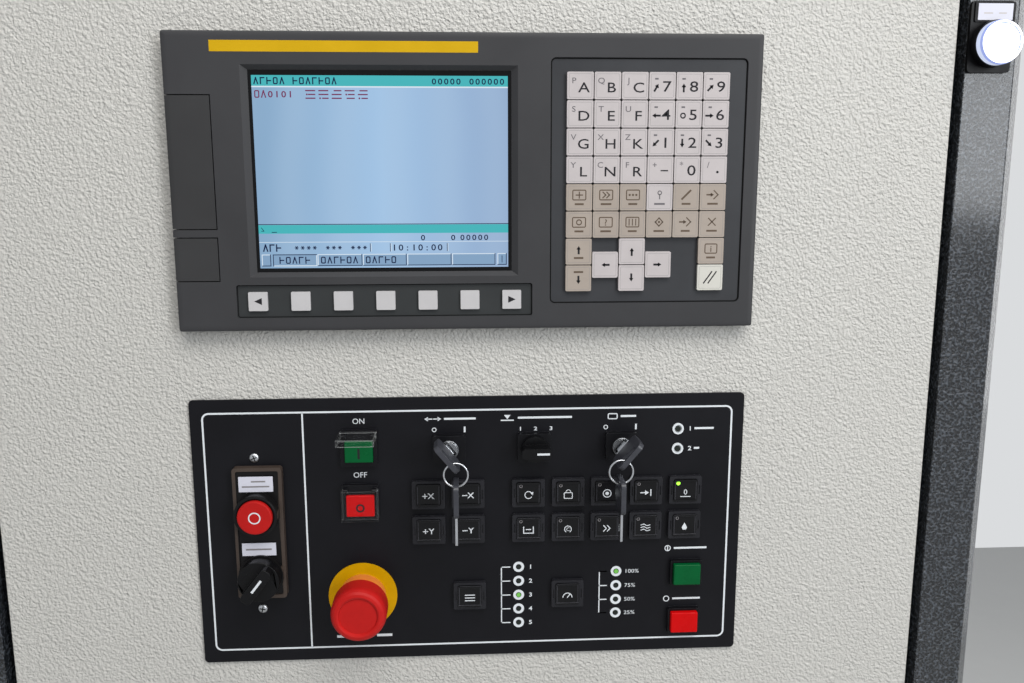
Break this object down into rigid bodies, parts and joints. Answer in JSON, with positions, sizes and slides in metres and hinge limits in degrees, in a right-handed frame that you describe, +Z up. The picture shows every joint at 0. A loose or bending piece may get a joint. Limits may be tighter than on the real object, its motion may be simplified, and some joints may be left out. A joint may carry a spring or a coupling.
{
  "type": "cnc punch press operator control cabinet",
  "caption": "Floor-standing control cabinet of a punch press: hinged door with a display and keypad unit above an operator panel with keys, switches and an emergency stop.",
  "frame": {"origin": "on the floor under the middle of the whole cabinet", "axes": "+Z up, the door faces -Y, the viewer's right is +X"},
  "size_m": [0.79, 0.447, 1.6],
  "materials": {
    "frame_paint": "dark blue-grey wrinkle paint",
    "door_paint": "warm light grey orange-peel paint",
    "zinc_steel": "zinc plated",
    "chrome_lock": "polished",
    "drive_housing": "cast and painted light grey",
    "terminal_plastic": "grey polyamide",
    "gasket_rubber": "soft black foam",
    "lamp_black": "black",
    "lamp_glow": "translucent, lit",
    "bezel_grey": "fine grained dark grey",
    "screen": "flat, lit from behind",
    "case_aluminium": "sheet",
    "keypad_white": "pinkish white caps on a dark mat",
    "softkey_light": "off-white caps on a dark mat",
    "plate_black": "satin black",
    "led_mix": "small lenses",
    "station_brown": "brown-grey",
    "estop_yellow": "yellow",
    "block_grey": "dark grey",
    "flap_grey": "fine grained dark grey",
    "cap_smoke": "smoky black, dished and glossy",
    "button_green": "green",
    "button_red": "red",
    "clear_cover": "clear",
    "key_black": "grey-black bow",
    "stem_pale": "pale orange",
    "knob_black": "black"
  },
  "bodies": {
    "cabinet": {"cabinet_shell": "frame_paint", "front_frame": "frame_paint", "plinth": "frame_paint", "levelling_feet": "zinc_steel", "mounting_plate": "zinc_steel", "drive_unit": "drive_housing", "terminal_strip": "terminal_plastic", "hinge_frame_leaves": "zinc_steel", "lamp_holder": "lamp_black", "lamp_lens": "lamp_glow"},
    "door": {"door_panel": "door_paint", "door_gasket": "gasket_rubber", "hinge_door_leaves": "zinc_steel", "display_bezel": "bezel_grey", "lcd_screen": "screen", "display_rear_case": "case_aluminium", "keypad": "keypad_white", "softkey_strip": "softkey_light", "operator_plate": "plate_black", "indicator_leds": "led_mix", "station_frame": "station_brown", "estop_collar": "estop_yellow", "contact_blocks": "block_grey"},
    "door_lock_top": {"door_lock_top": "chrome_lock"},
    "door_lock_bottom": {"door_lock_bottom": "chrome_lock"},
    "card_cover_upper": {"card_cover_upper": "flap_grey"},
    "card_cover_lower": {"card_cover_lower": "flap_grey"},
    "jog_key_a": {"jog_key_a": "cap_smoke"},
    "jog_key_b": {"jog_key_b": "cap_smoke"},
    "jog_key_c": {"jog_key_c": "cap_smoke"},
    "jog_key_d": {"jog_key_d": "cap_smoke"},
    "function_key_a": {"function_key_a": "cap_smoke"},
    "function_key_b": {"function_key_b": "cap_smoke"},
    "function_key_c": {"function_key_c": "cap_smoke"},
    "function_key_d": {"function_key_d": "cap_smoke"},
    "function_key_e": {"function_key_e": "cap_smoke"},
    "function_key_f": {"function_key_f": "cap_smoke"},
    "function_key_g": {"function_key_g": "cap_smoke"},
    "function_key_h": {"function_key_h": "cap_smoke"},
    "function_key_i": {"function_key_i": "cap_smoke"},
    "function_key_j": {"function_key_j": "cap_smoke"},
    "mode_key": {"mode_key": "cap_smoke"},
    "speed_key": {"speed_key": "cap_smoke"},
    "on_button": {"on_button": "button_green"},
    "off_button": {"off_button": "button_red"},
    "start_button": {"start_button": "button_green"},
    "hold_button": {"hold_button": "button_red"},
    "on_cover": {"on_cover": "clear_cover"},
    "off_cover": {"off_cover": "clear_cover"},
    "key_switch_left": {"key_switch_left": "chrome_lock"},
    "key_switch_right": {"key_switch_right": "chrome_lock"},
    "key_ring_left": {"key_ring_left": "chrome_lock"},
    "key_ring_right": {"key_ring_right": "chrome_lock"},
    "spare_key_left": {"spare_key_left": "key_black"},
    "spare_key_right": {"spare_key_right": "key_black"},
    "selector_knob": {"selector_knob": "knob_black"},
    "estop_stem": {"estop_stem": "stem_pale"},
    "estop_head": {"estop_head": "button_red"},
    "station_stop_button": {"station_stop_button": "button_red"},
    "station_knob": {"station_knob": "knob_black"}
  },
  "joints": [
    {"name": "door_hinge", "type": "hinge", "parent": "cabinet", "child": "door", "pos_m": [-0.329, -0.1645, 0.85], "axis": [0, 0, -1], "range_deg": [0, 100]},
    {"name": "door_lock_top_turn", "type": "hinge", "parent": "door", "child": "door_lock_top", "pos_m": [0.27, -0.1765, 1.47], "axis": [0, -1, 0], "range_deg": [0, 90]},
    {"name": "door_lock_bottom_turn", "type": "hinge", "parent": "door", "child": "door_lock_bottom", "pos_m": [0.27, -0.1765, 0.45], "axis": [0, -1, 0], "range_deg": [0, 90]},
    {"name": "card_cover_upper_hinge", "type": "hinge", "parent": "door", "child": "card_cover_upper", "pos_m": [-0.198, -0.18, 1.33455], "axis": [0, 0, -1], "range_deg": [0, 90]},
    {"name": "card_cover_lower_hinge", "type": "hinge", "parent": "door", "child": "card_cover_lower", "pos_m": [-0.198, -0.18, 1.2697], "axis": [0, 0, -1], "range_deg": [0, 90]},
    {"name": "jog_key_a_press", "type": "slide", "parent": "door", "child": "jog_key_a", "axis": [0, 1, 0], "range_m": [0, 0.0015], "stiffness_N_per_m": 400, "springref_m": -0.001},
    {"name": "jog_key_b_press", "type": "slide", "parent": "door", "child": "jog_key_b", "axis": [0, 1, 0], "range_m": [0, 0.0015], "stiffness_N_per_m": 400, "springref_m": -0.001},
    {"name": "jog_key_c_press", "type": "slide", "parent": "door", "child": "jog_key_c", "axis": [0, 1, 0], "range_m": [0, 0.0015], "stiffness_N_per_m": 400, "springref_m": -0.001},
    {"name": "jog_key_d_press", "type": "slide", "parent": "door", "child": "jog_key_d", "axis": [0, 1, 0], "range_m": [0, 0.0015], "stiffness_N_per_m": 400, "springref_m": -0.001},
    {"name": "function_key_a_press", "type": "slide", "parent": "door", "child": "function_key_a", "axis": [0, 1, 0], "range_m": [0, 0.0015], "stiffness_N_per_m": 400, "springref_m": -0.001},
    {"name": "function_key_b_press", "type": "slide", "parent": "door", "child": "function_key_b", "axis": [0, 1, 0], "range_m": [0, 0.0015], "stiffness_N_per_m": 400, "springref_m": -0.001},
    {"name": "function_key_c_press", "type": "slide", "parent": "door", "child": "function_key_c", "axis": [0, 1, 0], "range_m": [0, 0.0015], "stiffness_N_per_m": 400, "springref_m": -0.001},
    {"name": "function_key_d_press", "type": "slide", "parent": "door", "child": "function_key_d", "axis": [0, 1, 0], "range_m": [0, 0.0015], "stiffness_N_per_m": 400, "springref_m": -0.001},
    {"name": "function_key_e_press", "type": "slide", "parent": "door", "child": "function_key_e", "axis": [0, 1, 0], "range_m": [0, 0.0015], "stiffness_N_per_m": 400, "springref_m": -0.001},
    {"name": "function_key_f_press", "type": "slide", "parent": "door", "child": "function_key_f", "axis": [0, 1, 0], "range_m": [0, 0.0015], "stiffness_N_per_m": 400, "springref_m": -0.001},
    {"name": "function_key_g_press", "type": "slide", "parent": "door", "child": "function_key_g", "axis": [0, 1, 0], "range_m": [0, 0.0015], "stiffness_N_per_m": 400, "springref_m": -0.001},
    {"name": "function_key_h_press", "type": "slide", "parent": "door", "child": "function_key_h", "axis": [0, 1, 0], "range_m": [0, 0.0015], "stiffness_N_per_m": 400, "springref_m": -0.001},
    {"name": "function_key_i_press", "type": "slide", "parent": "door", "child": "function_key_i", "axis": [0, 1, 0], "range_m": [0, 0.0015], "stiffness_N_per_m": 400, "springref_m": -0.001},
    {"name": "function_key_j_press", "type": "slide", "parent": "door", "child": "function_key_j", "axis": [0, 1, 0], "range_m": [0, 0.0015], "stiffness_N_per_m": 400, "springref_m": -0.001},
    {"name": "mode_key_press", "type": "slide", "parent": "door", "child": "mode_key", "axis": [0, 1, 0], "range_m": [0, 0.0015], "stiffness_N_per_m": 400, "springref_m": -0.001},
    {"name": "speed_key_press", "type": "slide", "parent": "door", "child": "speed_key", "axis": [0, 1, 0], "range_m": [0, 0.0015], "stiffness_N_per_m": 400, "springref_m": -0.001},
    {"name": "on_button_press", "type": "slide", "parent": "door", "child": "on_button", "axis": [0, 1, 0], "range_m": [0, 0.0025], "stiffness_N_per_m": 400, "springref_m": -0.001},
    {"name": "off_button_press", "type": "slide", "parent": "door", "child": "off_button", "axis": [0, 1, 0], "range_m": [0, 0.0025], "stiffness_N_per_m": 400, "springref_m": -0.001},
    {"name": "start_button_press", "type": "slide", "parent": "door", "child": "start_button", "axis": [0, 1, 0], "range_m": [0, 0.0025], "stiffness_N_per_m": 400, "springref_m": -0.001},
    {"name": "hold_button_press", "type": "slide", "parent": "door", "child": "hold_button", "axis": [0, 1, 0], "range_m": [0, 0.0025], "stiffness_N_per_m": 400, "springref_m": -0.001},
    {"name": "on_cover_hinge", "type": "hinge", "parent": "door", "child": "on_cover", "pos_m": [-0.0812, -0.1845, 1.1421], "axis": [-1, 0, 0], "range_deg": [-90, 5]},
    {"name": "off_cover_hinge", "type": "hinge", "parent": "door", "child": "off_cover", "pos_m": [-0.0812, -0.1845, 1.1012], "axis": [-1, 0, 0], "range_deg": [0, 95]},
    {"name": "key_switch_left_turn", "type": "hinge", "parent": "door", "child": "key_switch_left", "pos_m": [-0.0162, -0.1765, 1.1312], "axis": [0, 1, 0], "range_deg": [0, 90]},
    {"name": "key_ring_left_swing", "type": "hinge", "parent": "key_switch_left", "child": "key_ring_left", "pos_m": [-0.01125, -0.2115, 1.1253], "axis": [0, -1, 0], "range_deg": [-60, 120]},
    {"name": "spare_key_left_swing", "type": "hinge", "parent": "key_ring_left", "child": "spare_key_left", "pos_m": [-0.01125, -0.2115, 1.11248], "axis": [-1, 0, 0], "range_deg": [-30, 40]},
    {"name": "key_switch_right_turn", "type": "hinge", "parent": "door", "child": "key_switch_right", "pos_m": [0.1097, -0.1765, 1.1312], "axis": [0, -1, 0], "range_deg": [0, 90]},
    {"name": "key_ring_right_swing", "type": "hinge", "parent": "key_switch_right", "child": "key_ring_right", "pos_m": [0.10475, -0.2115, 1.1253], "axis": [0, 1, 0], "range_deg": [-60, 120]},
    {"name": "spare_key_right_swing", "type": "hinge", "parent": "key_ring_right", "child": "spare_key_right", "pos_m": [0.10475, -0.2115, 1.11248], "axis": [-1, 0, 0], "range_deg": [-30, 40]},
    {"name": "selector_turn", "type": "hinge", "parent": "door", "child": "selector_knob", "pos_m": [0.0457, -0.1765, 1.1312], "axis": [0, -1, 0], "range_deg": [0, 180]},
    {"name": "estop_push", "type": "slide", "parent": "door", "child": "estop_stem", "axis": [0, 1, 0], "range_m": [0, 0.0045]},
    {"name": "estop_twist", "type": "hinge", "parent": "estop_stem", "child": "estop_head", "pos_m": [-0.0819, -0.1765, 1.018], "axis": [0, 1, 0], "range_deg": [0, 30], "stiffness_Nm_per_rad": 0.02, "springref_deg": -2.86},
    {"name": "station_stop_press", "type": "slide", "parent": "door", "child": "station_stop_button", "axis": [0, 1, 0], "range_m": [0, 0.004], "stiffness_N_per_m": 400, "springref_m": -0.001},
    {"name": "station_knob_turn", "type": "hinge", "parent": "door", "child": "station_knob", "pos_m": [-0.1545, -0.1765, 1.038], "axis": [0, -1, 0], "range_deg": [0, 76]}
  ]
}
